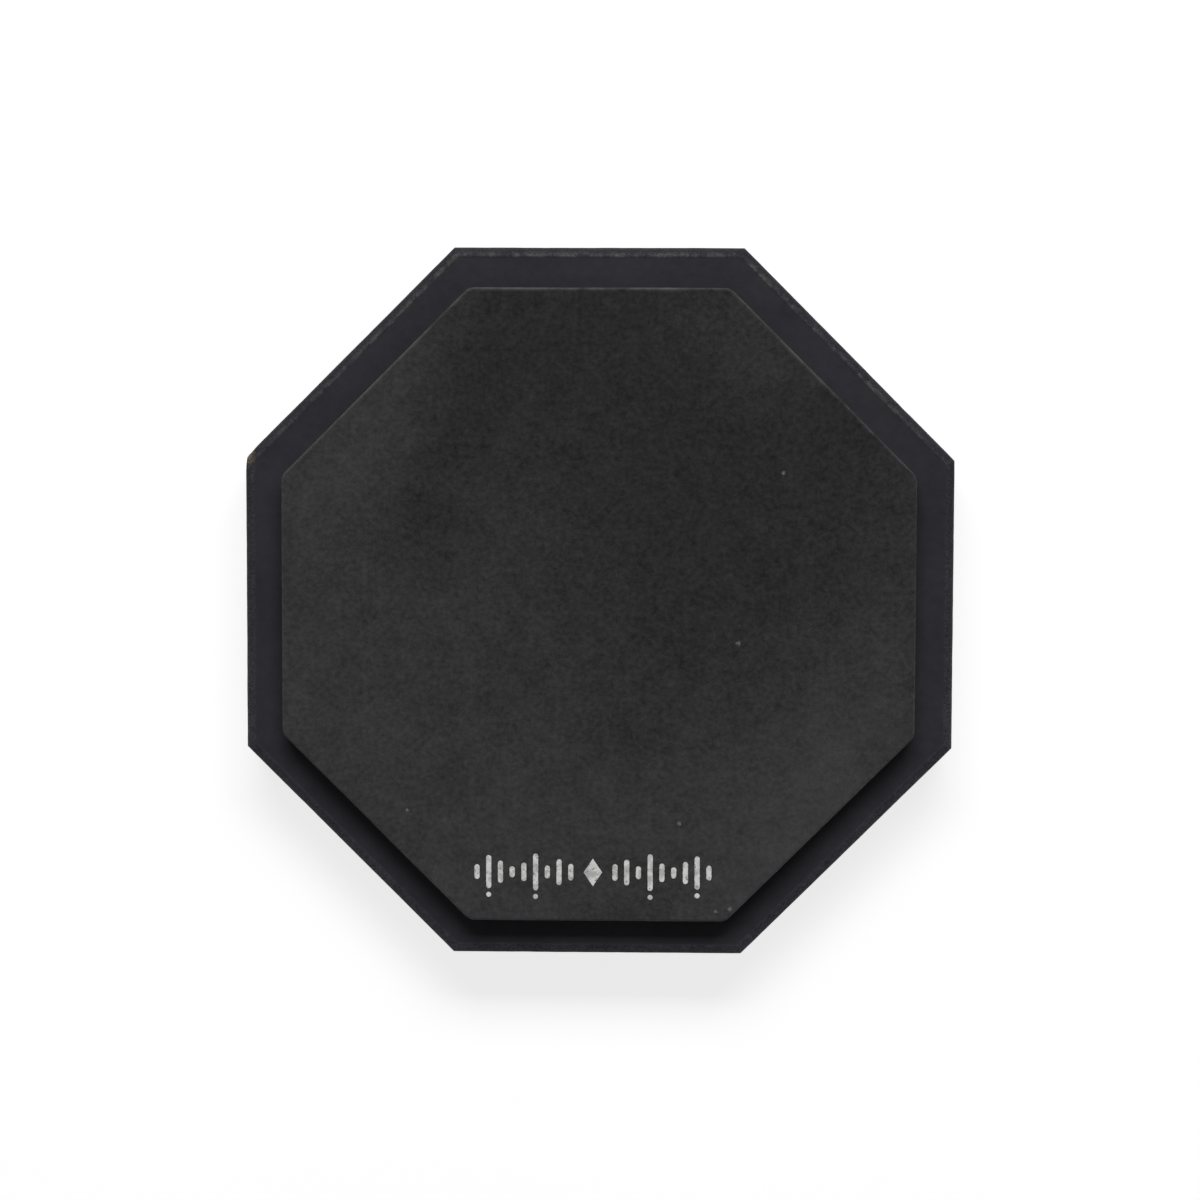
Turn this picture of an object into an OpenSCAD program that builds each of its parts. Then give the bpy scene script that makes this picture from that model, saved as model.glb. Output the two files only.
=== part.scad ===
// Octagonal practice pad for drumsticks, played on one side.
// A rubber playing surface is glued to a painted fibreboard base. The base holds a
// threaded insert for a cymbal-stand stud and stands on four screwed-on rubber feet.
// Millimetres. +Z is up, the origin is on the table under the pad's centre, and the
// player sits on the -Y side, where the printed strip is.

/* [Board] */
// Width of the board across its flats
board_af = 305; // [240:1:360]
// Thickness of the board
board_t = 15; // [13:0.5:22]
// Radius of the board's upper arris
board_top_r = 4.5; // [0.5:0.1:6]
// Radius of the board's lower arris
board_low_r = 1.2; // [0.5:0.1:2]

/* [Playing surface] */
// Bare margin of board left around the rubber
rubber_margin = 16; // [8:0.5:28]
// Thickness of the rubber
rubber_t = 8; // [5:0.5:12]
// Radius of the rubber's upper arris
rubber_arris_r = 0.8; // [0.3:0.1:2]
// Radius of the rubber's upright corners
rubber_corner_r = 4; // [1:0.5:12]
// Thickness of the glue film between board and rubber
glue_t = 0.3; // [0.1:0.05:0.6]
// Distance by which the glue film stops short of the rubber's edge
glue_inset = 1; // [0.5:0.5:4]

/* [Printed strip] */
// Length of the printed strip
print_w = 105; // [80:1:110]
// Distance of the strip's middle from the rubber's front edge
print_inset = 21; // [14:0.5:40]
// Sideways shift of the printed strip from the rubber's middle
print_shift = -2; // [-3:0.5:3]
// Width of one printed bar
bar_w = 2.2; // [0.6:0.1:2.2]
// Height of the tallest printed bar
bar_h = 16; // [8:0.5:16]

/* [Stand insert] */
// Tapping diameter of the insert's thread, 6.8 for M8
thread_d = 6.8; // [5:0.1:7]
// Outer diameter of the insert's barrel
barrel_d = 10; // [9:0.1:12]
// Length of the barrel under its flange
barrel_l = 11; // [6:0.5:11]
// Diameter of the insert's flange
flange_d = 22; // [18:0.5:28]
// Thickness of the insert's flange
flange_t = 1.5; // [1:0.1:2]

/* [Feet] */
// Height of a foot
foot_h = 9; // [7:0.5:14]
// Diameter of a foot where it meets the board
foot_top_d = 24; // [20:0.5:30]
// Diameter of a foot where it meets the table
foot_low_d = 20; // [18:0.5:24]
// Gap between a foot and the nearest edge of the board
foot_edge_gap = 14; // [6:0.5:30]
// Thickness of rubber that the screw clamps to the board
foot_web = 4; // [3:0.5:4.5]
// Diameter of the recess that hides the screw's head
recess_d = 11; // [10.5:0.5:13]

/* [Foot fixings] */
// Outer diameter of a washer
washer_d = 10; // [8:0.5:10]
// Thickness of a washer
washer_t = 1; // [0.5:0.1:1.2]
// Diameter of a screw's thread
screw_d = 3.5; // [3:0.1:3.8]
// Length of a screw under its head
screw_l = 16; // [12:1:17]
// Diameter of a screw's head
head_d = 7; // [6:0.1:8]
// Height of a screw's head
head_h = 1.9; // [1.4:0.1:2]

/* [Hidden] */
$fn = 48;

// Heights of the layers above the table
board_z = foot_h;
board_top_z = board_z + board_t;
rubber_z = board_top_z + glue_t;
rubber_top_z = rubber_z + rubber_t;
rubber_af = board_af - 2 * rubber_margin;
rubber_low_r = 0.3;

// Feet sit on the diagonals, one behind each slanting edge of the board
foot_count = 4;
foot_angle = 45;
foot_ring_r = board_af / 2 - foot_edge_gap - foot_top_d / 2;
foot_low_round = 1.5;
foot_top_round = 0.6;
screw_hole_d = screw_d + 0.7;
washer_z = foot_h - foot_web - washer_t;
screw_point_l = 3;
recess_slot = [5, 0.9, 1.2];

// The insert's four prongs are bent down out of its flange
prong_count = 4;
prong_w = 4.5;
prong_t = 1.4;
prong_l = 7;
prong_tip_w = 0.6;

// The strip shows a bar of rhythm, mirrored about a lozenge: each printed bar is one
// stroke, as high as it is loud, and a dot stands under each accented one
ink_t = 0.1;
loudness = [0.45, 0.7, 0.35, 1, 0.5, 0.3, 0.6, 0.9, 0.4];
accent_at = 0.85;
dot_d = 2.2;
dot_gap = 1.6;
lozenge_w = 8;
lozenge_h = 12;
lozenge_clear = 3;

arc_steps = 6;

// Points of an arc about c, from angle a0 to angle a1
function arc(c, r, a0, a1) = [
    for (i = [0:arc_steps])
        let (a = a0 + (a1 - a0) * i / arc_steps)
        c + r * [cos(a), sin(a)]
];

// Outline of a regular octagon with two flats on each axis and rounded corners
function octagon(af, r) = [
    for (k = [0:7])
        let (a = 45 * k + 22.5)
        each arc((af / 2 - r) / cos(22.5) * [cos(a), sin(a)], r, 45 * k, 45 * k + 45)
];

// Cross-section of a plate with rounded arrises
function section(w, t, r_up, r_low) = concat(
    arc([w / 2 - r_low, r_low], r_low, -90, 0),
    arc([w / 2 - r_up, t - r_up], r_up, 0, 90),
    arc([r_up - w / 2, t - r_up], r_up, 90, 180),
    arc([r_low - w / 2, r_low], r_low, 180, 270)
);

// Octagonal plate with rounded arrises: what four such long plates share
module octagon_plate(af, t, r_up, r_low) {
    intersection_for (k = [0:3])
        rotate([90, 0, 45 * k])
            linear_extrude(1.2 * af, center = true)
                polygon(section(af, t, r_up, r_low));
}

// Places its children on the foot with number i
module at_foot(i) {
    rotate([0, 0, foot_angle + 90 * (i - 1)])
        translate([foot_ring_r, 0, 0])
            children();
}

// The four prongs, tapering to a blunt tip, hanging from the flange's rim
module prongs() {
    for (k = [0:prong_count - 1])
        rotate([0, 0, foot_angle + 90 * k])
            translate([flange_d / 2 - prong_t - 0.5, 0, board_top_z])
                rotate([90, 0, 90])
                    linear_extrude(prong_t)
                        polygon([
                            [-prong_w / 2, 0],
                            [-prong_tip_w / 2, -prong_l],
                            [prong_tip_w / 2, -prong_l],
                            [prong_w / 2, 0]
                        ]);
}

// The insert's flange, flush with the board's top, with the barrel below it
module insert_body() {
    translate([0, 0, board_top_z - flange_t])
        cylinder(d = flange_d, h = flange_t);
    translate([0, 0, board_top_z - flange_t - barrel_l])
        cylinder(d = barrel_d, h = barrel_l + flange_t);
}

// Screw below its head, from the washer up to the point in the board
module screw_shank() {
    translate([0, 0, washer_z])
        rotate_extrude()
            polygon([
                [0, 0],
                [screw_d / 2, 0],
                [screw_d / 2, screw_l - screw_point_l],
                [0, screw_l]
            ]);
}

module base_board() {
    color([0.17, 0.17, 0.18])
        difference() {
            translate([0, 0, board_z])
                octagon_plate(board_af, board_t, board_top_r, board_low_r);
            insert_body();
            prongs();
            translate([0, 0, board_z - 1])
                cylinder(d = barrel_d, h = board_t);
            for (i = [1:foot_count])
                at_foot(i)
                    screw_shank();
        }
}

module contact_adhesive() {
    color([0.55, 0.44, 0.22])
        translate([0, 0, board_top_z])
            linear_extrude(glue_t)
                polygon(octagon(rubber_af - 2 * glue_inset, rubber_corner_r));
}

module playing_surface() {
    color([0.19, 0.19, 0.18])
        intersection() {
            translate([0, 0, rubber_z])
                octagon_plate(rubber_af, rubber_t, rubber_arris_r, rubber_low_r);
            translate([0, 0, rubber_z - 1])
                linear_extrude(rubber_t + 2)
                    polygon(octagon(rubber_af, rubber_corner_r));
        }
}

// Upright printed bar with round ends
module bar_mark(h) {
    square([bar_w, h - bar_w], center = true);
    for (end = [-1, 1])
        translate([0, end * (h - bar_w) / 2])
            circle(d = bar_w);
}

// The bars on the +X side of the lozenge
module bar_row() {
    start = lozenge_w / 2 + lozenge_clear;
    pitch = (print_w / 2 - start) / len(loudness);
    for (i = [0:len(loudness) - 1])
        translate([start + pitch * (i + 0.5), 0]) {
            bar_mark(bar_h * loudness[i]);
            if (loudness[i] > accent_at)
                translate([0, -bar_h / 2 * loudness[i] - dot_gap - dot_d / 2])
                    circle(d = dot_d);
        }
}

module lozenge_mark() {
    polygon([
        [-lozenge_w / 2, 0],
        [0, -lozenge_h / 2],
        [lozenge_w / 2, 0],
        [0, lozenge_h / 2]
    ]);
}

module printed_strip() {
    color([0.86, 0.86, 0.84])
        translate([print_shift, print_inset - rubber_af / 2, rubber_top_z])
            linear_extrude(ink_t) {
                lozenge_mark();
                for (side = [0, 1])
                    mirror([side, 0])
                        bar_row();
            }
}

module tee_nut() {
    color([0.74, 0.72, 0.66])
        difference() {
            union() {
                insert_body();
                prongs();
            }
            translate([0, 0, board_z])
                cylinder(d = thread_d, h = board_t + 1);
        }
}

module rubber_foot(i) {
    color([0.10, 0.10, 0.10])
        at_foot(i)
            rotate_extrude()
                polygon(concat(
                    [
                        [screw_hole_d / 2, foot_h],
                        [screw_hole_d / 2, foot_h - foot_web],
                        [recess_d / 2, foot_h - foot_web],
                        [recess_d / 2, 0]
                    ],
                    arc([foot_low_d / 2 - foot_low_round, foot_low_round], foot_low_round, -90, 0),
                    arc([foot_top_d / 2 - foot_top_round, foot_h - foot_top_round], foot_top_round, 0, 90)
                ));
}

module foot_washer(i) {
    color([0.76, 0.76, 0.74])
        at_foot(i)
            translate([0, 0, washer_z])
                difference() {
                    cylinder(d = washer_d, h = washer_t);
                    translate([0, 0, -1])
                        cylinder(d = screw_hole_d, h = washer_t + 2);
                }
}

// Pan-head wood screw with a crosshead recess, driven up through the foot
module foot_screw(i) {
    color([0.72, 0.71, 0.66])
        at_foot(i)
            difference() {
                union() {
                    screw_shank();
                    translate([0, 0, washer_z - head_h])
                        rotate_extrude()
                            polygon(concat(
                                [[0, head_h], [0, 0]],
                                arc([head_d / 2 - head_h * 0.7, head_h * 0.7], head_h * 0.7, -90, 0),
                                [[head_d / 2, head_h]]
                            ));
                }
                for (a = [0, 90])
                    rotate([0, 0, a])
                        translate([0, 0, washer_z - head_h])
                            cube([recess_slot.x, recess_slot.y, 2 * recess_slot.z], center = true);
            }
}

base_board();
contact_adhesive();
playing_surface();
printed_strip();
tee_nut();
for (i = [1:foot_count]) {
    rubber_foot(i);
    foot_washer(i);
    foot_screw(i);
}
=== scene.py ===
"""Octagonal practice pad: the looks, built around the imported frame.

Metres. +Z is up, the origin is on the floor under the pad, and the player sits on
the -Y side, where the printed strip is.
"""

import math
import random

import bmesh
import bpy
from mathutils import Matrix, Vector, noise


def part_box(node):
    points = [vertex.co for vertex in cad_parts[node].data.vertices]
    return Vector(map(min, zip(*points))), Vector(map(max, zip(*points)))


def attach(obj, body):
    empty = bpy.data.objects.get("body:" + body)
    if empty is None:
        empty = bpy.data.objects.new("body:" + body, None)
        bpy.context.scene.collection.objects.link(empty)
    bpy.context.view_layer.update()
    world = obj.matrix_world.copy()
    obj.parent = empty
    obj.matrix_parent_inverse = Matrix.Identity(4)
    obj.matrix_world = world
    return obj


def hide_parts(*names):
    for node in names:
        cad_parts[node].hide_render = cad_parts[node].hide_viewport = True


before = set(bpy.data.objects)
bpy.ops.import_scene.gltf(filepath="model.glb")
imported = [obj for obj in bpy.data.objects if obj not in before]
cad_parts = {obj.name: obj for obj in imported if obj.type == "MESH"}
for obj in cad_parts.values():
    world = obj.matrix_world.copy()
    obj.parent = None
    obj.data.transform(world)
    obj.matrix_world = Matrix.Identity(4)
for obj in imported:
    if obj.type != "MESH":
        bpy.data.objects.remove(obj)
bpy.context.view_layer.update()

MM = 0.001
BODY = "root"
EIGHTH = math.pi / 4
random.seed(12)


# ---------------------------------------------------------------- sizes

board_low, board_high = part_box("base_board")
rubber_low, rubber_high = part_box("playing_surface")
strip_low, strip_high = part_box("printed_strip")
nut_low, nut_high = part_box("tee_nut")

BOARD_HALF = board_high.x
RUBBER_HALF = rubber_high.x

# The board's upper edge: a routed nose, then a sanded shoulder that falls away by some
# degrees and meets the flat in a curve
NOSE_R = 2 * MM
SHOULDER_W = 1.8 * MM
SHOULDER_TILT = 15
SHOULDER_R = 3 * MM
BOARD_LOW_R = 1.2 * MM
BOARD_CORNER_R = 0.8 * MM
RUBBER_TOP_R = 1.1 * MM
RUBBER_LOW_R = 0.3 * MM
RUBBER_CORNER_R = 6.5 * MM
LEAST_CORNER_R = 0.15 * MM

# How far each side stands out from the true octagon, in millimetres, counted from the
# +X side towards +Y: the board is sawn a little unevenly, and the rubber is cut by hand
BOARD_TRIM = [-0.1, -0.9, 0, -0.7, -0.2, -0.3, 0, -0.8]
RUBBER_TRIM = [-0.6, -1.1, -0.9, -1.4, -0.5, -0.5, 0.4, -0.6]

# The meshes: the length of a step along an edge, the steps round an octagon's corner,
# the gap of a supporting point, and the flat ring kept inside each plate's edge
EDGE_STEP = 1.2 * MM
CORNER_STEPS = 6
SUPPORT = 0.25 * MM
BOARD_RING_W = 6 * MM
RUBBER_RING_W = 3 * MM
# Points round each turned shape
HOLE_POINTS = 64
FOOT_POINTS = 96
WASHER_POINTS = 64
SCREW_POINTS = 48
NUT_POINTS = 40
FLOOR_POINTS = 96
# How each plate's edge wanders: how far, over what length, and where in the noise
BOARD_WANDER = [(0.15 * MM, 25 * MM, 3), (0.10 * MM, 5 * MM, 6)]
RUBBER_WANDER = [(0.30 * MM, 45 * MM, 8), (0.08 * MM, 4 * MM, 2)]
GLUE_WANDER = [(1.2 * MM, 6 * MM, 5)]

# Corner where the board's left and upper left sides meet, and its paint is chipped
CHIP_CORNER = Vector((-BOARD_HALF, BOARD_HALF * math.tan(EIGHTH / 2), board_high.z))
CHIP_REACH = 6 * MM
CHIP_DEPTH = 0.9 * MM
# Smaller knocks in the upper arris: how many, and the least and most of their reach and
# depth, in millimetres
KNOCKS = 18
KNOCK_REACH = (1.5, 3.5)
KNOCK_DEPTH = (0.15, 0.4)
KNOCK_ROUGHNESS = 0.6
KNOCK_GRAIN = 1.5 * MM

# The insert, and the counterbore for its flange
BARREL_R = 5 * MM
COUNTERBORE_R = 11 * MM
FLANGE_T = 1.5 * MM


# ---------------------------------------------------------------- camera

CAMERA_DISTANCE = 1.5
CAMERA_LEAN_BACK = math.radians(4.9)
CAMERA_LEAN_RIGHT = math.radians(1.5)
CAMERA_ROLL = math.radians(0.16)
CAMERA_LENS = 102.9
CAMERA_AIM = Vector((-0.1 * MM, -0.5 * MM, 0))


def new_object(name, data):
    """Adds an object to the scene."""
    made = bpy.data.objects.new(name, data)
    bpy.context.scene.collection.objects.link(made)
    return made


def make_camera():
    """Camera almost straight above the pad, a little to its far side."""
    data = bpy.data.cameras.new("camera")
    data.lens = CAMERA_LENS
    camera = new_object("camera", data)
    side = math.sin(CAMERA_LEAN_RIGHT)
    far = math.sin(CAMERA_LEAN_BACK)
    back = Vector((side, far, math.sqrt(1 - side * side - far * far)))
    right = Vector((0, 1, 0)).cross(back).normalized()
    up = back.cross(right)
    turn = Matrix((right, up, back)).transposed() @ Matrix.Rotation(CAMERA_ROLL, 3, "Z")
    stand = Matrix.Translation(CAMERA_AIM + back * CAMERA_DISTANCE)
    camera.matrix_world = stand @ turn.to_4x4()
    bpy.context.scene.camera = camera


# ---------------------------------------------------------------- outlines

def arc(centre_r, centre_z, radius, start, end, steps=8):
    """Points of an arc in a cross-section, with its angles in degrees."""
    angles = [math.radians(start + (end - start) * i / steps) for i in range(steps + 1)]
    return [(centre_r + radius * math.cos(a), centre_z + radius * math.sin(a)) for a in angles]


def octagon_loop(half, corner_r, z, sides, trim):
    """Octagon with its flats on the axes, rounded corners and evenly split sides. Each
    side stands out by its own trim, in millimetres."""
    corners = []
    for k in range(8):
        reach = half + trim[k] * MM - corner_r
        next_reach = half + trim[(k + 1) % 8] * MM - corner_r
        out = Vector((math.cos(k * EIGHTH), math.sin(k * EIGHTH), 0))
        along = Vector((-out.y, out.x, 0))
        sideways = next_reach / math.sin(EIGHTH) - reach / math.tan(EIGHTH)
        centre = out * reach + along * sideways
        angles = [(k + i / CORNER_STEPS) * EIGHTH for i in range(CORNER_STEPS + 1)]
        turned = [Vector((math.cos(a), math.sin(a), 0)) for a in angles]
        corners.append([centre + direction * corner_r for direction in turned])
    points = []
    for k in range(8):
        points += corners[k]
        start, end = corners[k][-1], corners[(k + 1) % 8][0]
        points += [start.lerp(end, i / sides) for i in range(1, sides)]
    return [Vector((p.x, p.y, z)) for p in points]


def circle_loop(radius, z, count, centre=(0, 0)):
    """Circle of points, or the one point of a pole where the radius is nothing."""
    if radius < 1e-9:
        return [Vector((centre[0], centre[1], z))]
    angles = [2 * math.pi * i / count for i in range(count)]
    return [
        Vector((centre[0] + radius * math.cos(a), centre[1] + radius * math.sin(a), z))
        for a in angles
    ]


def with_support(profile, closed=True):
    """Adds a point close to both ends of every long straight stretch, so that smooth
    shading stays flat there."""
    ends = profile[1:] + (profile[:1] if closed else [])
    made = []
    for here, there in zip(profile, ends):
        here, there = Vector(here), Vector(there)
        made.append(tuple(here))
        length = (there - here).length
        if length > 4 * SUPPORT:
            made.append(tuple(here.lerp(there, SUPPORT / length)))
            made.append(tuple(there.lerp(here, SUPPORT / length)))
    return made if closed else made + profile[-1:]


# ---------------------------------------------------------------- meshes

class Builder:
    """Collects closed surfaces for one piece."""

    def __init__(self):
        self.bm = bmesh.new()
        self.inset = self.bm.verts.layers.float.new("inset")

    def loop(self, points, inset=0.0):
        """Vertices in a row. Materials read inset, the distance in from the outline."""
        made = [self.bm.verts.new(p) for p in points]
        for vertex in made:
            vertex[self.inset] = inset
        return made

    def bridge(self, low, high):
        """Faces between two loops. The one with fewer points, such as a pole, shares each
        of its points among several faces."""
        count = max(len(low), len(high))
        low = [low[i * len(low) // count] for i in range(count)]
        high = [high[i * len(high) // count] for i in range(count)]
        for i in range(count):
            j = (i + 1) % count
            corners = list(dict.fromkeys([low[i], low[j], high[j], high[i]]))
            if len(corners) > 2:
                self.bm.faces.new(corners)

    def loft(self, loops, closed=False, insets=None):
        """Surface through a row of point loops. Returns the vertex loops."""
        insets = insets or [0.0] * len(loops)
        made = [self.loop(points, inset) for points, inset in zip(loops, insets)]
        pairs = list(zip(made, made[1:]))
        if closed:
            pairs.append((made[-1], made[0]))
        for low, high in pairs:
            self.bridge(low, high)
        return made

    def fill(self, loop):
        """Flat face inside a loop, in triangles."""
        edges = []
        for i in range(len(loop)):
            pair = (loop[i], loop[(i + 1) % len(loop)])
            edges.append(self.bm.edges.get(pair) or self.bm.edges.new(pair))
        bmesh.ops.triangle_fill(self.bm, use_beauty=True, edges=edges)

    def solid(self, loops, insets=None):
        """Surface through a row of point loops, with a flat face at each end."""
        made = self.loft(loops, insets=insets)
        self.fill(made[0])
        self.fill(made[-1])

    def finish(self, name, material, smooth=True):
        """Turns what was collected into one object."""
        bmesh.ops.recalc_face_normals(self.bm, faces=self.bm.faces)
        mesh = bpy.data.meshes.new(name)
        self.bm.to_mesh(mesh)
        self.bm.free()
        for face in mesh.polygons:
            face.use_smooth = smooth
        mesh.materials.append(material)
        return new_object(name, mesh)


def lathe(builder, profile, centre, count, closed=True):
    """Solid of revolution about an upright axis, from a cross-section of (radius, z)."""
    builder.loft([circle_loop(r, z, count, centre) for r, z in profile], closed)


def apply_modifiers(piece):
    """Keeps the modifiers' result as the piece's mesh, in triangles. A cut can leave a
    triangle of no area, which goes."""
    graph = bpy.context.evaluated_depsgraph_get()
    mesh = bpy.data.meshes.new_from_object(piece.evaluated_get(graph))
    piece.modifiers.clear()
    bm = bmesh.new()
    bm.from_mesh(mesh)
    bmesh.ops.triangulate(bm, faces=bm.faces)
    bmesh.ops.dissolve_degenerate(bm, dist=0.001 * MM, edges=bm.edges)
    bm.to_mesh(mesh)
    bm.free()
    piece.data = mesh


# ---------------------------------------------------------------- node helpers

def node(tree, kind, inputs=None, **settings):
    """Adds a node. An input is a number, a vector or the socket that feeds it."""
    made = tree.nodes.new(kind)
    for name, value in settings.items():
        setattr(made, name, value)
    for name, value in (inputs or {}).items():
        if isinstance(value, bpy.types.NodeSocket):
            tree.links.new(value, made.inputs[name])
        else:
            made.inputs[name].default_value = value
    return made


def maths(tree, operation, a, b, clamp=False):
    settings = {"operation": operation, "use_clamp": clamp}
    return node(tree, "ShaderNodeMath", {0: a, 1: b}, **settings).outputs[0]


def product(tree, first, *others):
    """All the factors multiplied together."""
    for other in others:
        first = maths(tree, "MULTIPLY", first, other)
    return first


def spread(tree, value, low, high, to_low=0.0, to_high=1.0, smooth=True):
    """Carries value from low..high to to_low..to_high, and holds it there beyond."""
    inputs = {"Value": value, "From Min": low, "From Max": high}
    inputs.update({"To Min": to_low, "To Max": to_high})
    kind = "SMOOTHSTEP" if smooth else "LINEAR"
    return node(tree, "ShaderNodeMapRange", inputs, interpolation_type=kind).outputs[0]


def sway(tree, value, amount, middle=0.0):
    """Turns noise about a half into a value about middle, amount times as strong."""
    inputs = {0: value, 1: amount, 2: middle - amount / 2}
    return node(tree, "ShaderNodeMath", inputs, operation="MULTIPLY_ADD").outputs[0]


def inset_of(tree):
    """The distance in from the piece's outline, stored on its mesh."""
    return node(tree, "ShaderNodeAttribute", attribute_name="inset").outputs["Fac"]


def toned(tree, colour, tone):
    """The colour made darker or lighter, tone times."""
    inputs = {0: colour, "Scale": tone}
    return node(tree, "ShaderNodeVectorMath", inputs, operation="SCALE").outputs[0]


def blend_colours(tree, factor, a, b):
    inputs = {0: factor, 6: a, 7: b}
    return node(tree, "ShaderNodeMix", inputs, data_type="RGBA").outputs[2]


def place(tree):
    """The point on the piece, in metres."""
    return node(tree, "ShaderNodeTexCoord").outputs["Object"]


def split(tree, vector):
    return node(tree, "ShaderNodeSeparateXYZ", {0: vector}).outputs


def scaled(tree, vector, x, y, z):
    inputs = {0: vector, 1: (x, y, z)}
    return node(tree, "ShaderNodeVectorMath", inputs, operation="MULTIPLY").outputs[0]


def distance_to(tree, vector, point):
    inputs = {0: vector, 1: point}
    return node(tree, "ShaderNodeVectorMath", inputs, operation="DISTANCE").outputs["Value"]


def grain(tree, vector, size, detail=3.0, roughness=0.55):
    """Noise from 0 to 1 whose blotches are about size metres across."""
    inputs = {"Vector": vector, "Scale": 1 / size, "Detail": detail, "Roughness": roughness}
    return node(tree, "ShaderNodeTexNoise", inputs).outputs["Fac"]


def uneven_roughness(tree, blotches, least, most):
    """Roughness that follows noise, from least to most."""
    return spread(tree, blotches, 0.3, 0.7, least, most, False)


def bump(tree, height, distance, strength=1.0, under=None):
    inputs = {"Height": height, "Distance": distance, "Strength": strength}
    if under is not None:
        inputs["Normal"] = under
    return node(tree, "ShaderNodeBump", inputs).outputs["Normal"]


def new_material(name, **uniform):
    """Material with a Principled shader, whose uniform values sit on its own sockets."""
    material = bpy.data.materials.new(name)
    material.use_nodes = True
    shader = material.node_tree.nodes["Principled BSDF"]
    for socket, value in uniform.items():
        shader.inputs[socket.replace("_", " ")].default_value = value
    return material, material.node_tree, shader


def wire(tree, shader, **sockets):
    for socket, source in sockets.items():
        tree.links.new(source, shader.inputs[socket.replace("_", " ")])


# ---------------------------------------------------------------- rubber and print

RUBBER_DARK = (0.0190, 0.0190, 0.0192, 1)
RUBBER_PALE = (0.0580, 0.0580, 0.0585, 1)
RUBBER_WORN_HIGHLIGHT = (0.0700, 0.0695, 0.0680, 1)
SPECK = (0.16, 0.16, 0.155, 1)
INK = (0.94, 0.94, 0.93, 1)
INK_THIN = (0.60, 0.60, 0.59, 1)
# Pale specks on the rubber: place and radius, in millimetres
SPECKS = [
    (79, 57, 1.1), (60, -16, 1.2), (-82, -89, 1.0), (35, -94, 1.1), (57, -131, 1.3),
    (51, -132, 1.0), (-113, -80, 0.6),
]
# Where dust lies thickest: place and reach in millimetres, and strength. The far right is
# the cleanest, and the negative ones are where a hand has wiped it off.
DUST = [
    (-120, 62, 60, 0.42), (-130, -55, 220, 0.62), (0, -150, 150, 0.50), (105, -96, 120, 0.85),
    (145, -5, 100, 0.34), (-82, 118, 55, 0.38), (70, 120, 50, 0.35),
    (-52, 102, 30, -0.30), (-66, 70, 28, -0.16), (-79, 34, 34, -0.28),
]


def gap_to(tree, here, x, y, wander):
    """Distance to a place on the rubber, x and y millimetres from its middle. Wander makes
    the distance uneven."""
    spot = (x * MM, y * MM, rubber_high.z)
    return maths(tree, "ADD", distance_to(tree, here, spot), wander)


def dustiness(tree, here):
    """How much dust lies on the rubber, from 0 to 1, in soft uneven patches."""
    wander = sway(tree, grain(tree, here, 45 * MM, 3), 60 * MM)
    total = None
    for x, y, reach, strength in DUST:
        gap = gap_to(tree, here, x, y, wander)
        patch = spread(tree, gap, 0.0, reach * MM, strength, 0)
        total = patch if total is None else maths(tree, "ADD", total, patch)
    return maths(tree, "MAXIMUM", maths(tree, "MINIMUM", total, 1.0), 0.0)


def rubber_colour(tree, here):
    """Black rubber under dust, with a mottled grain that the dust partly hides."""
    dust = dustiness(tree, here)
    colour = blend_colours(tree, dust, RUBBER_DARK, RUBBER_PALE)
    clouds = sway(tree, grain(tree, here, 13 * MM, 3), 0.62, 1)
    contrast = spread(tree, dust, 0, 0.9, 1.0, 0.4, False)
    speckle = sway(tree, grain(tree, here, 5.0 * MM, 2), 1.2)
    for size, strength in ((2.3 * MM, 2.1), (0.95 * MM, 1.2)):
        finer = sway(tree, grain(tree, here, size, 2), strength)
        speckle = maths(tree, "ADD", speckle, finer)
    tone = maths(tree, "ADD", clouds, product(tree, speckle, contrast))
    return toned(tree, colour, tone)


def rubber_grain(tree, here):
    """Fine leathery grain of pressed rubber sheet."""
    coarse = grain(tree, here, 1.9 * MM, 2)
    fine = grain(tree, here, 0.55 * MM, 3, 0.65)
    return bump(tree, fine, 0.06 * MM, 0.8, bump(tree, coarse, 0.12 * MM, 0.7))


def wear_and_painted_highlight(tree, here):
    """Wear from being held, with a painted highlight over it: most on the far edge, which faces the
    light, a little on the near one, least between.
    """
    along = split(tree, here)[1]
    far = spread(tree, along, 20 * MM, 125 * MM)
    near = spread(tree, along, -130 * MM, -60 * MM, 0.3, 0.1)
    return maths(tree, "MAXIMUM", far, near)


def rubber_wear_and_highlight(tree, here, height):
    """Wear along the upper arris, where it is held and struck, with a painted highlight that is
    strongest on the far side, where the light falls.
    """
    patchy = spread(tree, grain(tree, here, 9 * MM, 3), 0.35, 0.65)
    rim = spread(tree, inset_of(tree), 0.3 * MM, 2.2 * MM, 0.8, 0)
    upper = spread(tree, height, rubber_high.z - 1.5 * MM, rubber_high.z - 0.4 * MM)
    return product(tree, rim, upper, patchy, wear_and_painted_highlight(tree, here))


def with_specks(tree, here, colour):
    """The colour, with small ragged pale specks."""
    ragged = sway(tree, grain(tree, here, 1.2 * MM, 2), 2.6 * MM)
    for x, y, radius in SPECKS:
        gap = gap_to(tree, here, x, y, ragged)
        spot = spread(tree, gap, 0.2 * radius * MM, radius * MM, 1, 0)
        colour = blend_colours(tree, spot, colour, SPECK)
    return colour


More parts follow.
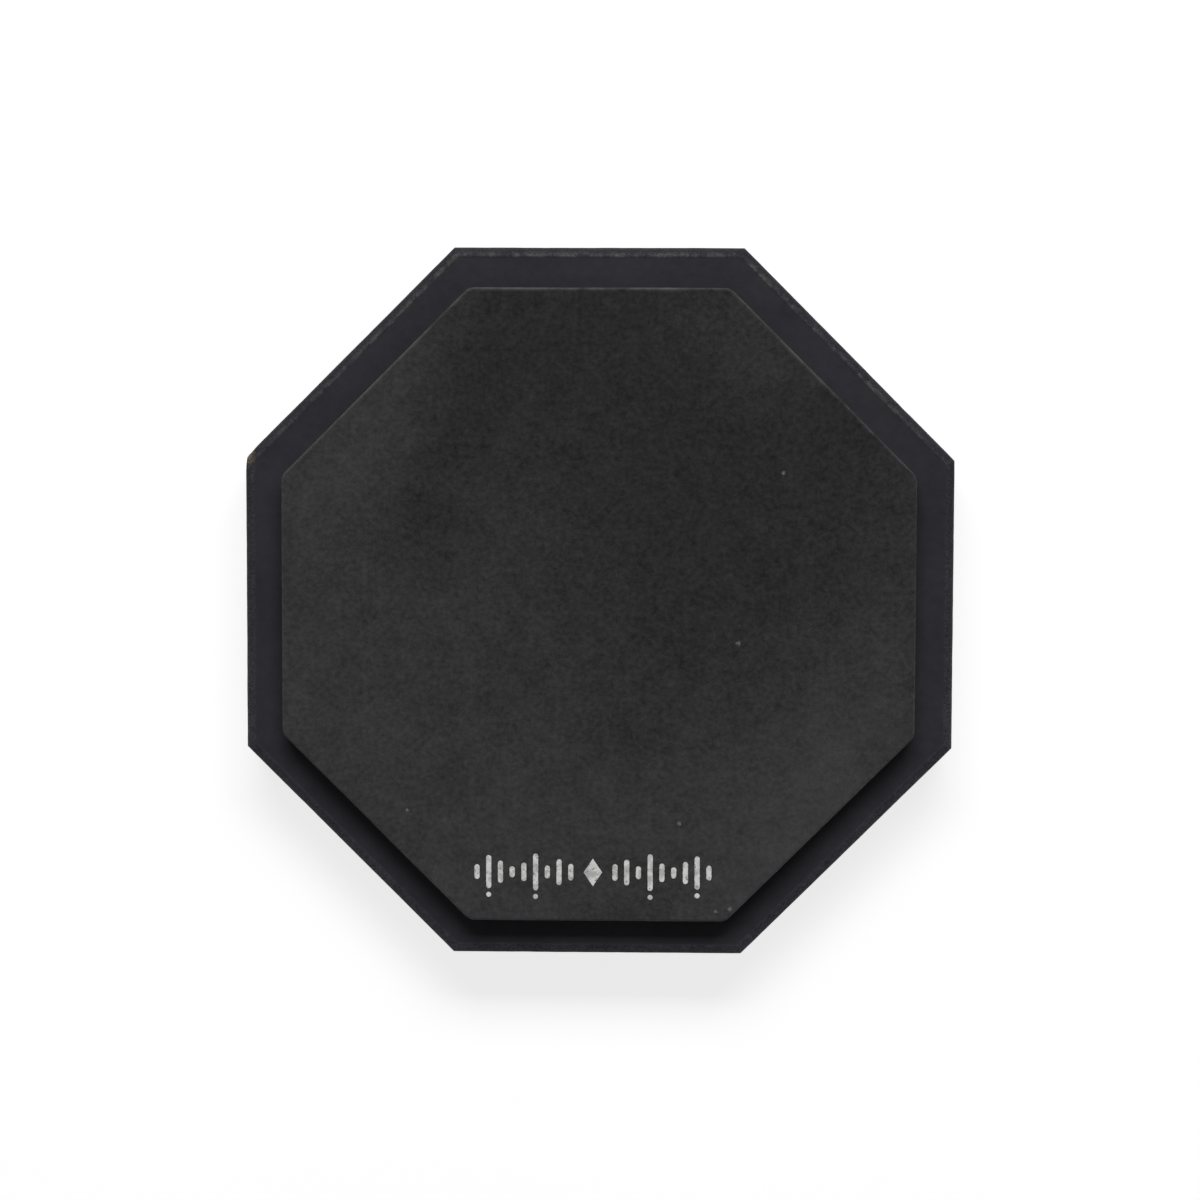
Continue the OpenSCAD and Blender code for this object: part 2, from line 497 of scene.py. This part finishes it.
def playing_rubber():
    material, tree, shader = new_material("playing_rubber", Specular_IOR_Level=0.35)
    here = place(tree)
    height = split(tree, here)[2]
    colour = rubber_colour(tree, here)
    # Pale along the upper arris: wear, and a painted highlight that is strongest on the far side,
    # where the light falls
    colour = blend_colours(tree, rubber_wear_and_highlight(tree, here, height), colour, RUBBER_WORN_HIGHLIGHT)
    colour = with_specks(tree, here, colour)

    # The cut side is streaked from top to bottom
    streaks = grain(tree, scaled(tree, here, 1, 1, 0.08), 0.7 * MM, 3)
    side = spread(tree, height, rubber_high.z - 0.9 * MM, rubber_high.z - 0.5 * MM, 1, 0)
    cut = product(tree, streaks, side)
    normal = bump(tree, cut, 0.25 * MM, 0.8, rubber_grain(tree, here))
    rough = uneven_roughness(tree, grain(tree, here, 12 * MM, 4), 0.66, 0.84)
    wire(tree, shader, Base_Color=colour, Roughness=rough, Normal=normal)
    return material


def white_ink():
    """Print that has worn thin over the rubber's grain, and through in small places."""
    material, tree, shader = new_material("white_ink", Specular_IOR_Level=0.3)
    here = place(tree)
    thin = spread(tree, grain(tree, here, 3.0 * MM, 3), 0.40, 0.62)
    colour = blend_colours(tree, thin, INK, INK_THIN)
    gone = spread(tree, grain(tree, here, 1.1 * MM, 4, 0.7), 0.58, 0.66)
    colour = blend_colours(tree, product(tree, gone, 0.9), colour, RUBBER_PALE)
    rough = uneven_roughness(tree, grain(tree, here, 4 * MM, 3), 0.55, 0.75)
    wire(tree, shader, Base_Color=colour, Roughness=rough, Normal=rubber_grain(tree, here))
    return material


# ---------------------------------------------------------------- board material

PAINT = (0.0255, 0.0252, 0.0335, 1)
PAINT_PALE = (0.0315, 0.0311, 0.0395, 1)
PAINT_WORN_HIGHLIGHT = (0.0700, 0.0690, 0.0700, 1)
FIBREBOARD = (0.105, 0.080, 0.062)
BARE_R = 4.2 * MM


def paint_colour(tree, here, edge):
    """Cloudy black paint. The rounded edge has drunk it and is pebbly. Its nose has painted shade
    on the far side, which faces the light, and painted light on the near one, and its shoulder is
    worn pale, with a painted highlight that is strongest on the far side."""
    inset = inset_of(tree)
    cloudy = spread(tree, grain(tree, here, 30 * MM, 4), 0.35, 0.65)
    colour = blend_colours(tree, cloudy, PAINT, PAINT_PALE)
    mottle = sway(tree, grain(tree, here, 3.5 * MM, 3), 0.4, 1)
    pebbly = product(tree, sway(tree, grain(tree, here, 0.9 * MM, 3, 0.6), 3.0), edge)
    # Painted light on the nose: darker on the far side, which the light falls on, and paler on the
    # near side, which is in shade
    nose_light_by_side = spread(tree, split(tree, here)[1], -150 * MM, 120 * MM, 1.35, 0.55)
    painted_nose_light = spread(tree, inset, 0.6 * MM, 3.6 * MM, nose_light_by_side, 1)
    tone = product(tree, maths(tree, "ADD", mottle, pebbly), painted_nose_light)

    # The shoulder is paler: worn paint, and a painted highlight that is strongest on the far side,
    # which faces the light
    patchy = spread(tree, grain(tree, here, 7 * MM, 4, 0.65), 0.40, 0.62, 0.0, 1.1)
    outer = spread(tree, inset, 1.0 * MM, 3.0 * MM)
    inner = spread(tree, inset, 3.4 * MM, 4.6 * MM, 1, 0)
    rubbed_and_highlit = product(tree, outer, inner, patchy, wear_and_painted_highlight(tree, here))
    return toned(tree, blend_colours(tree, rubbed_and_highlit, colour, PAINT_WORN_HIGHLIGHT), tone)


def bare_board(tree, here, edge):
    """Where the paint has gone: at the chipped corner, and in pinholes of the edge."""
    gap = distance_to(tree, here, CHIP_CORNER)
    ragged = sway(tree, grain(tree, here, 2.0 * MM, 4, 0.7), 9 * MM)
    chip = spread(tree, maths(tree, "ADD", gap, ragged), 0.8 * BARE_R, 1.2 * BARE_R, 1, 0)
    pinholes = spread(tree, grain(tree, here, 1.6 * MM, 2), 0.74, 0.80)
    return maths(tree, "MAXIMUM", chip, product(tree, pinholes, edge))


def board_normal(tree, here, edge, bare):
    """The faces are rolled smooth, the edge is fuzzy with fibres, and a chip is a dent."""
    peel = grain(tree, here, 2.2 * MM, 2)
    fibres = grain(tree, scaled(tree, here, 1, 1, 2.5), 0.9 * MM, 4, 0.7)
    normal = bump(tree, peel, 0.06 * MM, 0.6)
    normal = bump(tree, product(tree, fibres, edge), 0.30 * MM, 0.9, normal)
    return bump(tree, product(tree, bare, -1.0), 0.25 * MM, 1.0, normal)


def painted_board():
    material, tree, shader = new_material("painted_board", Specular_IOR_Level=0.4)
    here = place(tree)
    edge = spread(tree, inset_of(tree), 3.2 * MM, 4.6 * MM, 1, 0)
    bare = bare_board(tree, here, edge)
    fibre_tone = sway(tree, grain(tree, here, 0.7 * MM, 3, 0.7), 1.6, 1)
    fibre = toned(tree, FIBREBOARD, fibre_tone)
    colour = blend_colours(tree, bare, paint_colour(tree, here, edge), fibre)
    rough = uneven_roughness(tree, grain(tree, here, 8 * MM, 4), 0.46, 0.60)
    rougher = product(tree, maths(tree, "MAXIMUM", bare, edge), 0.25)
    rough = maths(tree, "ADD", rough, rougher, True)
    normal = board_normal(tree, here, edge, bare)
    wire(tree, shader, Base_Color=colour, Roughness=rough, Normal=normal)
    return material


# ---------------------------------------------------------------- other materials

FOOT_BLACK = (0.012, 0.012, 0.012, 1)
FLOOR_DUST = (0.06, 0.057, 0.052, 1)
ZINC = (0.62, 0.62, 0.60, 1)
ZINC_DULL = (0.42, 0.42, 0.40, 1)
SCREW_ZINC = (0.62, 0.57, 0.42, 1)
SCREW_ZINC_DULL = (0.45, 0.40, 0.27, 1)
GLUE_DARK = (0.10, 0.065, 0.02, 1)
GLUE_PALE = (0.30, 0.21, 0.08, 1)


def foot_rubber():
    """Moulded rubber, grey with floor dust towards its lower rim."""
    material, tree, shader = new_material("foot_rubber", Specular_IOR_Level=0.4)
    here = place(tree)
    blotches = grain(tree, here, 4 * MM, 4)
    low = spread(tree, split(tree, here)[2], 0.3 * MM, 3 * MM, 1, 0)
    dust = product(tree, low, spread(tree, blotches, 0.35, 0.65, 0.2, 0.9))
    colour = blend_colours(tree, dust, FOOT_BLACK, FLOOR_DUST)
    normal = bump(tree, grain(tree, here, 0.5 * MM, 3, 0.6), 0.05 * MM, 0.7)
    rough = uneven_roughness(tree, blotches, 0.55, 0.78)
    wire(tree, shader, Base_Color=colour, Roughness=rough, Normal=normal)
    return material


def plated_steel(name, bright, dull):
    """Zinc plating: cloudy, with fine turning scratches."""
    material, tree, shader = new_material(name, Metallic=1.0)
    here = place(tree)
    cloudy = spread(tree, grain(tree, here, 3 * MM, 4), 0.35, 0.65)
    colour = blend_colours(tree, cloudy, bright, dull)
    scratches = grain(tree, scaled(tree, here, 1, 1, 8), 0.8 * MM, 3, 0.7)
    normal = bump(tree, scratches, 0.03 * MM, 0.5)
    rough = spread(tree, cloudy, 0, 1, 0.26, 0.46, False)
    wire(tree, shader, Base_Color=colour, Roughness=rough, Normal=normal)
    return material


def dried_glue():
    material, tree, shader = new_material("adhesive", Specular_IOR_Level=0.5)
    lumps = grain(tree, place(tree), 3 * MM, 4)
    colour = blend_colours(tree, lumps, GLUE_DARK, GLUE_PALE)
    rough = uneven_roughness(tree, lumps, 0.3, 0.55)
    normal = bump(tree, lumps, 0.1 * MM, 0.8)
    wire(tree, shader, Base_Color=colour, Roughness=rough, Normal=normal)
    return material


# ---------------------------------------------------------------- board and rubber

def lower_edge(half, low_z, low_r):
    """Cross-section of a plate's underside and rounded lower arris."""
    edge = [(half - 2.5 * low_r - SUPPORT, low_z), (half - low_r - SUPPORT, low_z)]
    edge += arc(half - low_r, low_z + low_r, low_r, -90, 0, 5)
    return edge + [(half, low_z + low_r + SUPPORT)]


def board_profile():
    """The board's routed nose and its hand-sanded shoulder, which meets the flat softly."""
    tilt = math.radians(SHOULDER_TILT)
    foot_r = BOARD_HALF - NOSE_R * (1 - math.sin(tilt)) - SHOULDER_W
    fall = NOSE_R * math.cos(tilt) + SHOULDER_W * math.tan(tilt) + SHOULDER_R * (1 - math.cos(tilt))
    nose_z = board_high.z - fall
    edge = lower_edge(BOARD_HALF, board_low.z, BOARD_LOW_R)
    edge += [(BOARD_HALF, nose_z - SUPPORT)]
    edge += arc(BOARD_HALF - NOSE_R, nose_z, NOSE_R, 0, 90 - SHOULDER_TILT, 7)
    flat_r = foot_r - SHOULDER_R * math.sin(tilt)
    edge += arc(flat_r, board_high.z - SHOULDER_R, SHOULDER_R, 90 - SHOULDER_TILT, 90, 4)
    return edge + [(flat_r - SUPPORT, board_high.z), (flat_r - BOARD_RING_W, board_high.z)]


def rubber_profile():
    """The rubber's square-cut side and softened upper arris."""
    edge = lower_edge(RUBBER_HALF, rubber_low.z, RUBBER_LOW_R)
    edge += [(RUBBER_HALF, rubber_high.z - RUBBER_TOP_R - SUPPORT)]
    flat_r = RUBBER_HALF - RUBBER_TOP_R
    edge += arc(flat_r, rubber_high.z - RUBBER_TOP_R, RUBBER_TOP_R, 0, 90, 9)
    return edge + [(flat_r - SUPPORT, rubber_high.z), (flat_r - RUBBER_RING_W, rubber_high.z)]


def steps_along(half):
    """How many steps one side of an octagon is split into."""
    return round(2 * half * math.tan(EIGHTH / 2) / EDGE_STEP)


def plate_loops(profile, half, corner_r, trim):
    """One octagon round the plate for each point of its edge's cross-section."""
    sides = steps_along(half)
    loops = []
    for reach, z in profile:
        r = max(corner_r - (half - reach), LEAST_CORNER_R)
        loops.append(octagon_loop(reach, r, z, sides, trim))
    return loops


def uneven(loops, wander):
    """Moves a plate's edge inwards by uneven amounts, as a hand tool leaves it."""
    for amount, size, seed in wander:
        shift = Vector((seed, seed, 0))
        for point in (point for loop in loops for point in loop):
            flat = Vector((point.x, point.y, 0))
            push = noise.noise(flat / size + shift) * amount
            point -= flat.normalized() * (amount + push) * 0.5
    return loops


def knock_places():
    """Place, reach and depth of the chipped corner and of each knock in the arris."""
    knocks = [(CHIP_CORNER, CHIP_REACH, CHIP_DEPTH)]
    for _ in range(KNOCKS):
        angle = random.uniform(0, 2 * math.pi)
        side = (angle + EIGHTH / 2) % EIGHTH - EIGHTH / 2
        out = BOARD_HALF / math.cos(side)
        where = Vector((math.cos(angle) * out, math.sin(angle) * out, board_high.z))
        reach = random.uniform(*KNOCK_REACH) * MM
        depth = random.uniform(*KNOCK_DEPTH) * MM
        knocks.append((where, reach, depth))
    return knocks


def knocked(loops):
    """Dents the board's edge at each knock, rough at the bottom and fading outwards."""
    knocks = knock_places()
    for loop in loops:
        for point in loop:
            for where, reach, depth in knocks:
                gap = (point - where).length
                if gap < 2 * reach:
                    rough = 1 + KNOCK_ROUGHNESS * noise.noise(point / KNOCK_GRAIN)
                    inward = Vector((-where.x, -where.y, -BOARD_HALF)).normalized()
                    point += inward * depth * rough * math.exp(-((gap / reach) ** 2) * 2)
    return loops


def make_board(material):
    profile = board_profile()
    loops = plate_loops(profile, BOARD_HALF, BOARD_CORNER_R, BOARD_TRIM)
    loops = knocked(uneven(loops, BOARD_WANDER))
    builder = Builder()
    made = builder.loft(loops, insets=[BOARD_HALF - reach for reach, _ in profile])

    # The insert's hole and counterbore, and the flat faces between it and the edge
    ledge = nut_high.z - FLANGE_T
    hole = [(BARREL_R, board_low.z), (BARREL_R, ledge)]
    hole += [(COUNTERBORE_R, ledge), (COUNTERBORE_R, board_high.z)]
    hole = with_support(hole, closed=False)
    hole_loops = [circle_loop(r, z, HOLE_POINTS) for r, z in hole]
    rings = builder.loft(hole_loops, insets=[BOARD_HALF] * len(hole_loops))
    builder.bridge(made[0], rings[0])
    builder.bridge(made[-1], rings[-1])
    return builder.finish("board", material)


def make_rubber(material):
    profile = rubber_profile()
    loops = plate_loops(profile, RUBBER_HALF, RUBBER_CORNER_R, RUBBER_TRIM)
    insets = [RUBBER_HALF - reach for reach, _ in profile]
    builder = Builder()
    builder.solid(uneven(loops, RUBBER_WANDER), insets=insets)
    return builder.finish("rubber_sheet", material)


def make_glue(material):
    """Film of glue whose edge wanders, in the gap under the rubber."""
    low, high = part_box("contact_adhesive")
    sides = steps_along(high.x)
    levels = (low.z, high.z)
    loops = [octagon_loop(high.x, RUBBER_CORNER_R, z, sides, RUBBER_TRIM) for z in levels]
    builder = Builder()
    builder.solid(uneven(loops, GLUE_WANDER))
    return builder.finish("glue_film", material, smooth=False)


# ---------------------------------------------------------------- printed strip

STRIP_W = strip_high.x - strip_low.x
STRIP_X = (strip_low.x + strip_high.x) / 2
STRIP_SETBACK = 21 * MM
STRIP_Y = rubber_low.y + STRIP_SETBACK
BAR_W = 2.2 * MM
BAR_H = 16 * MM
# Height of each bar from the middle outwards, as a share of BAR_H. The tallest have a dot
# under them.
LOUDNESS = [0.45, 0.7, 0.35, 1, 0.5, 0.3, 0.6, 0.9, 0.4]
ACCENT_AT = 0.85
DOT_R = 1.1 * MM
DOT_GAP = 1.6 * MM
LOZENGE_W = 8 * MM
LOZENGE_H = 12 * MM
LOZENGE_CLEAR = 3 * MM
INK_T = 0.05 * MM
INK_STEP = 0.35 * MM
BLEED = 0.09 * MM
BLEED_SIZE = 0.9 * MM


def stadium(x, y, width, height):
    """Outline of an upright bar with round ends."""
    r = width / 2
    straight = height / 2 - r
    top = arc(x, y + straight, r, 0, 180, 8)
    bottom = arc(x, y - straight, r, 180, 360, 8)
    return top + bottom if straight > 0 else top + bottom[1:-1]


def ragged_outline(outline):
    """Splits an outline into short steps and roughens it, as ink bleeds."""
    points = []
    for i, start in enumerate(outline):
        start, end = Vector(start), Vector(outline[(i + 1) % len(outline)])
        steps = max(1, round((end - start).length / INK_STEP))
        points += [start.lerp(end, k / steps) for k in range(steps)]
    made = []
    for p in points:
        at = Vector((p.x, p.y, 0)) / BLEED_SIZE
        x = p.x + BLEED * noise.noise(at)
        y = p.y + BLEED * noise.noise(at + Vector((9, 9, 9)))
        made.append(Vector((x, y)))
    return made


def strip_outlines():
    """A lozenge between two rows of upright bars, each the other's mirror image."""
    x, y = STRIP_X, STRIP_Y
    across, up = LOZENGE_W / 2, LOZENGE_H / 2
    outlines = [[(x - across, y), (x, y - up), (x + across, y), (x, y + up)]]
    start = across + LOZENGE_CLEAR
    pitch = (STRIP_W / 2 - BAR_W / 2 - start) / (len(LOUDNESS) - 0.5)
    for i, loudness in enumerate(LOUDNESS):
        for side in (-1, 1):
            x = STRIP_X + side * (start + pitch * (i + 0.5))
            outlines.append(stadium(x, STRIP_Y, BAR_W, BAR_H * loudness))
            if loudness > ACCENT_AT:
                y = STRIP_Y - BAR_H / 2 * loudness - DOT_GAP - DOT_R
                outlines.append(stadium(x, y, 2 * DOT_R, 2 * DOT_R))
    return outlines


def make_strip(material):
    """Thin raised ink, which starts just inside the rubber so that no gap shows."""
    builder = Builder()
    levels = (rubber_high.z - 0.5 * INK_T, rubber_high.z + INK_T)
    for outline in strip_outlines():
        points = ragged_outline(outline)
        builder.solid([[Vector((p.x, p.y, z)) for p in points] for z in levels])
    return builder.finish("white_print", material, smooth=False)


# ---------------------------------------------------------------- feet and washers

WEB = 4 * MM
RECESS_R = 5.5 * MM
RECESS_ROUND = 0.5 * MM
SCREW_HOLE_R = 2.1 * MM
FOOT_LOW_R = 10 * MM
FOOT_LOW_ROUND = 1.2 * MM
FOOT_TOP_ROUND = 0.6 * MM
# Shallow gripping rings in the underside: their radii, and a ring's half width at its
# mouth and at its floor
GRIP_RINGS = (7.0 * MM, 8.2 * MM)
GRIP_MOUTH = 0.35 * MM
GRIP_FLOOR = 0.15 * MM
GRIP_DEPTH = 0.35 * MM
# Rim where the two halves of the mould meet: how far in from the widest place, and how
# far below the top
MOULD_RIM = [(0.55 * MM, 2.2 * MM), (0.2 * MM, 2.0 * MM)]
WASHER_ROUND = 0.15 * MM


def foot_centre(i):
    low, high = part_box(f"rubber_foot_{i}")
    return (low.x + high.x) / 2, (low.y + high.y) / 2


def make_foot(i, material):
    """Tapered cup: a web with the screw's hole, over a recess that hides its head."""
    low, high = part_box(f"rubber_foot_{i}")
    top_r = (high.x - low.x) / 2
    profile = [(SCREW_HOLE_R, high.z), (SCREW_HOLE_R, high.z - WEB), (RECESS_R, high.z - WEB)]
    profile += arc(RECESS_R + RECESS_ROUND, RECESS_ROUND, RECESS_ROUND, 180, 270, 4)
    for r in GRIP_RINGS:
        profile += [(r - GRIP_MOUTH, 0), (r - GRIP_FLOOR, GRIP_DEPTH)]
        profile += [(r + GRIP_FLOOR, GRIP_DEPTH), (r + GRIP_MOUTH, 0)]
    profile += arc(FOOT_LOW_R - FOOT_LOW_ROUND, FOOT_LOW_ROUND, FOOT_LOW_ROUND, -90, 0, 8)
    profile += [(top_r - inward, high.z - down) for inward, down in MOULD_RIM]
    soft = FOOT_TOP_ROUND
    profile += arc(top_r - soft, high.z - soft, soft, 0, 90, 6)
    builder = Builder()
    lathe(builder, with_support(profile), foot_centre(i), FOOT_POINTS)
    return builder.finish(f"foot_{i}", material)


def make_washer(i, material):
    """Flat washer with softened edges."""
    low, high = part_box(f"foot_washer_{i}")
    r = (high.x - low.x) / 2
    soft = WASHER_ROUND
    profile = arc(r - soft, high.z - soft, soft, 0, 90, 3)
    profile += [(SCREW_HOLE_R + soft, high.z), (SCREW_HOLE_R, high.z - soft)]
    profile += [(SCREW_HOLE_R, low.z + soft), (SCREW_HOLE_R + soft, low.z)]
    profile += arc(r - soft, low.z + soft, soft, -90, 0, 3)
    builder = Builder()
    lathe(builder, with_support(profile), foot_centre(i), WASHER_POINTS)
    return builder.finish(f"washer_{i}", material)


# ---------------------------------------------------------------- screws

HEAD_ROUND = 1.2 * MM
ROOT_R = 1.15 * MM
CREST_R = 1.75 * MM
POINT_H = 3 * MM
# The crosshead blade: height from the head's face, half length and half width, at its
# mouth and at its tip
BLADE = [(-0.2 * MM, 2.4 * MM, 0.5 * MM), (1.4 * MM, 0.9 * MM, 0.3 * MM)]
# How much further each screw is turned than the one before, in radians
SCREW_TURN = 0.4
SCREW_PITCH = 1.6 * MM
STEPS_PER_TURN = 20
RIDGE_HALF_W = 0.5 * MM
# How far above the washer's underside the thread starts, and below the point it ends
THREAD_START = 3 * MM
THREAD_END = 2.2 * MM


def blades(i, face_z, material):
    """The two crossed, tapered blades that cut a screw's recess."""
    x, y = foot_centre(i)
    cutter = Builder()
    for turn in (0, math.pi / 2):
        spin = Matrix.Rotation(turn + SCREW_TURN * i, 2)
        loops = []
        for level, half_l, half_w in BLADE:
            corners = [(half_l, half_w), (-half_l, half_w), (-half_l, -half_w), (half_l, -half_w)]
            turned = [spin @ Vector(c) for c in corners]
            loops.append([Vector((x + c.x, y + c.y, face_z + level)) for c in turned])
        cutter.solid(loops)
    return cutter.finish("blades", material)


def screw_body(i, material):
    """Head with a domed face and a crosshead recess, shank and point."""
    low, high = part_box(f"foot_screw_{i}")
    washer_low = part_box(f"foot_washer_{i}")[0].z
    head_r = (high.x - low.x) / 2
    profile = [(0, low.z)]
    profile += arc(head_r - HEAD_ROUND, low.z + HEAD_ROUND, HEAD_ROUND, -90, 0, 6)
    profile += [(head_r, washer_low), (ROOT_R, washer_low)]
    profile += [(ROOT_R, high.z - POINT_H), (0, high.z)]
    builder = Builder()
    lathe(builder, profile, foot_centre(i), SCREW_POINTS, closed=False)
    piece = builder.finish(f"screw_{i}", material)

    cutter = blades(i, low.z, material)
    cut = piece.modifiers.new("recess", "BOOLEAN")
    cut.operation = "DIFFERENCE"
    cut.solver = "EXACT"
    cut.use_self = True
    cut.object = cutter
    apply_modifiers(piece)
    bpy.data.objects.remove(cutter)
    return piece


def screw_thread(i, material):
    """Ridge that winds up the shank and dies away at the point."""
    x, y = foot_centre(i)
    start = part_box(f"foot_washer_{i}")[0].z + THREAD_START
    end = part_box(f"foot_screw_{i}")[1].z - THREAD_END
    count = int((end - start) / SCREW_PITCH * STEPS_PER_TURN)
    inner_r = ROOT_R * 0.9
    up = Vector((0, 0, RIDGE_HALF_W))
    loops = []
    for k in range(count + 1):
        angle = 2 * math.pi * k / STEPS_PER_TURN
        out = Vector((math.cos(angle), math.sin(angle), 0))
        axis = Vector((x, y, start + (end - start) * k / count))
        fade = min(1, 3 * k / count, 4 * (1 - k / count))
        crest = ROOT_R + (CREST_R - ROOT_R) * max(fade, 0.02)
        loops.append([axis + out * inner_r - up, axis + out * crest, axis + out * inner_r + up])
    thread = Builder()
    thread.solid(loops)
    return thread.finish(f"screw_thread_{i}", material, smooth=False)


# ---------------------------------------------------------------- insert

THREAD_PITCH = 1.25 * MM
THREAD_DEPTH = 0.6 * MM
THREAD_R = 3.4 * MM
STEPS_PER_PITCH = 10
FLANGE_EASE = 0.2 * MM
BARREL_EASE = 0.3 * MM
# A prong's cross-section, in millimetres across and down from the flange's top, and how
# far its two faces are from the flange's rim
PRONG = [(-2.25, -1.2), (-0.3, -7), (0.3, -7), (2.25, -1.2)]
PRONG_IN = (1.9 * MM, 0.5 * MM)


def threaded_bore(low, top):
    """Loops up the bore, whose groove winds round it and fades out at both mouths."""
    steps = round((top - low) / THREAD_PITCH * STEPS_PER_PITCH)
    loops = []
    for k in range(steps + 1):
        z = low + (top - low) * k / steps
        mouth = min(1, k / 4, (steps - k) / 4)
        loop = []
        for i in range(NUT_POINTS):
            turn = i / NUT_POINTS
            phase = ((z - low) / THREAD_PITCH - turn) % 1
            groove = 1 - abs(2 * phase - 1)
            r = THREAD_R + THREAD_DEPTH * groove * mouth
            angle = 2 * math.pi * turn
            loop.append(Vector((r * math.cos(angle), r * math.sin(angle), z)))
        loops.append(loop)
    return loops


def nut_outside(low, top, flange_r):
    """Cross-section of the flange and barrel, from the top down, with eased arrises."""
    flat = top - FLANGE_T
    return [
        (flange_r - FLANGE_EASE, top), (flange_r, top - FLANGE_EASE),
        (flange_r, flat + FLANGE_EASE), (flange_r - FLANGE_EASE, flat),
        (BARREL_R + BARREL_EASE, flat), (BARREL_R, flat - BARREL_EASE),
        (BARREL_R, low + BARREL_EASE), (BARREL_R - BARREL_EASE, low),
    ]


def make_nut(material):
    """Pronged insert: flange, barrel with a real thread inside, and four prongs."""
    top, low = nut_high.z, nut_low.z
    flange_r = nut_high.x
    builder = Builder()
    outside = [circle_loop(r, z, NUT_POINTS) for r, z in nut_outside(low, top, flange_r)]
    builder.loft(threaded_bore(low, top) + outside, closed=True)
    for k in range(4):
        spin = Matrix.Rotation(EIGHTH + k * math.pi / 2, 3, "Z")
        loops = []
        for inward in PRONG_IN:
            r = flange_r - inward
            loops.append([spin @ Vector((r, a * MM, top + b * MM)) for a, b in PRONG])
        builder.solid(loops)
    return builder.finish("stand_insert", material, smooth=False)


# ---------------------------------------------------------------- stage

KEY_DISTANCE = 6.0
KEY_ZENITH = math.radians(53.5)
KEY_TURN = math.radians(-3)
KEY_SIZE = (5.4, 1.9)
KEY_POWER = 330
FLOOR_R = 4.0
FLOOR_GLOW = 0.78
FLOOR_DARK = (0.38, 0.38, 0.38, 1)
FLOOR_PALE = (0.40, 0.40, 0.40, 1)
# The room is bright up to the lower of these heights and dim from the upper one, on a
# scale where the horizon is 0 and the zenith 1
WALL_TOP = 0.08
DOME_FROM = 0.30
WALL_LIGHT = 1.0
DOME_LIGHT = 0.085
WHITE = (1, 1, 1, 1)


def make_floor():
    """Pale floor that glows like a light table."""
    builder = Builder()
    rim = builder.loop(circle_loop(FLOOR_R, 0, FLOOR_POINTS))
    builder.bm.faces.new(rim)
    material, tree, shader = new_material("floor", Roughness=0.9, Specular_IOR_Level=0.1)
    shader.inputs["Emission Color"].default_value = WHITE
    shader.inputs["Emission Strength"].default_value = FLOOR_GLOW
    mottle = grain(tree, place(tree), 0.3, 2)
    wire(tree, shader, Base_Color=blend_colours(tree, mottle, FLOOR_DARK, FLOOR_PALE))
    builder.finish("floor", material, smooth=False)


def make_key():
    """One wide soft light from the far side."""
    data = bpy.data.lights.new("key", "AREA")
    data.shape = "RECTANGLE"
    data.size, data.size_y = KEY_SIZE
    data.energy = KEY_POWER
    key = new_object("key", data)
    turn = Matrix.Rotation(KEY_TURN, 4, "Z") @ Matrix.Rotation(-KEY_ZENITH, 4, "X")
    key.matrix_world = turn @ Matrix.Translation((0, 0, KEY_DISTANCE))


def make_room():
    """Dim room with a bright horizon."""
    world = bpy.data.worlds.new("studio")
    world.use_nodes = True
    tree = world.node_tree
    direction = node(tree, "ShaderNodeTexCoord").outputs["Generated"]
    height = split(tree, direction)[2]
    strength = spread(tree, height, WALL_TOP, DOME_FROM, WALL_LIGHT, DOME_LIGHT)
    background = tree.nodes["Background"]
    background.inputs["Color"].default_value = WHITE
    tree.links.new(strength, background.inputs["Strength"])
    bpy.context.scene.world = world
    bpy.context.scene.view_settings.view_transform = "Standard"


# ---------------------------------------------------------------- assembly

def add(piece, node_name):
    """Puts a finished piece in place of the CAD node it stands for."""
    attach(piece, BODY)
    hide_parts(node_name)


make_camera()
zinc = plated_steel("zinc_steel", ZINC, ZINC_DULL)
screw_zinc = plated_steel("screw_steel", SCREW_ZINC, SCREW_ZINC_DULL)
black_foot = foot_rubber()

add(make_board(painted_board()), "base_board")
rubber = make_rubber(playing_rubber())
add(rubber, "playing_surface")
add(make_glue(dried_glue()), "contact_adhesive")
add(make_strip(white_ink()), "printed_strip")
add(make_nut(zinc), "tee_nut")
for i in range(1, 5):
    add(make_foot(i, black_foot), f"rubber_foot_{i}")
    add(make_washer(i, zinc), f"foot_washer_{i}")
    add(screw_body(i, screw_zinc), f"foot_screw_{i}")
    add(screw_thread(i, screw_zinc), f"foot_screw_{i}")
make_floor()
make_key()
make_room()

bpy.context.view_layer.update()
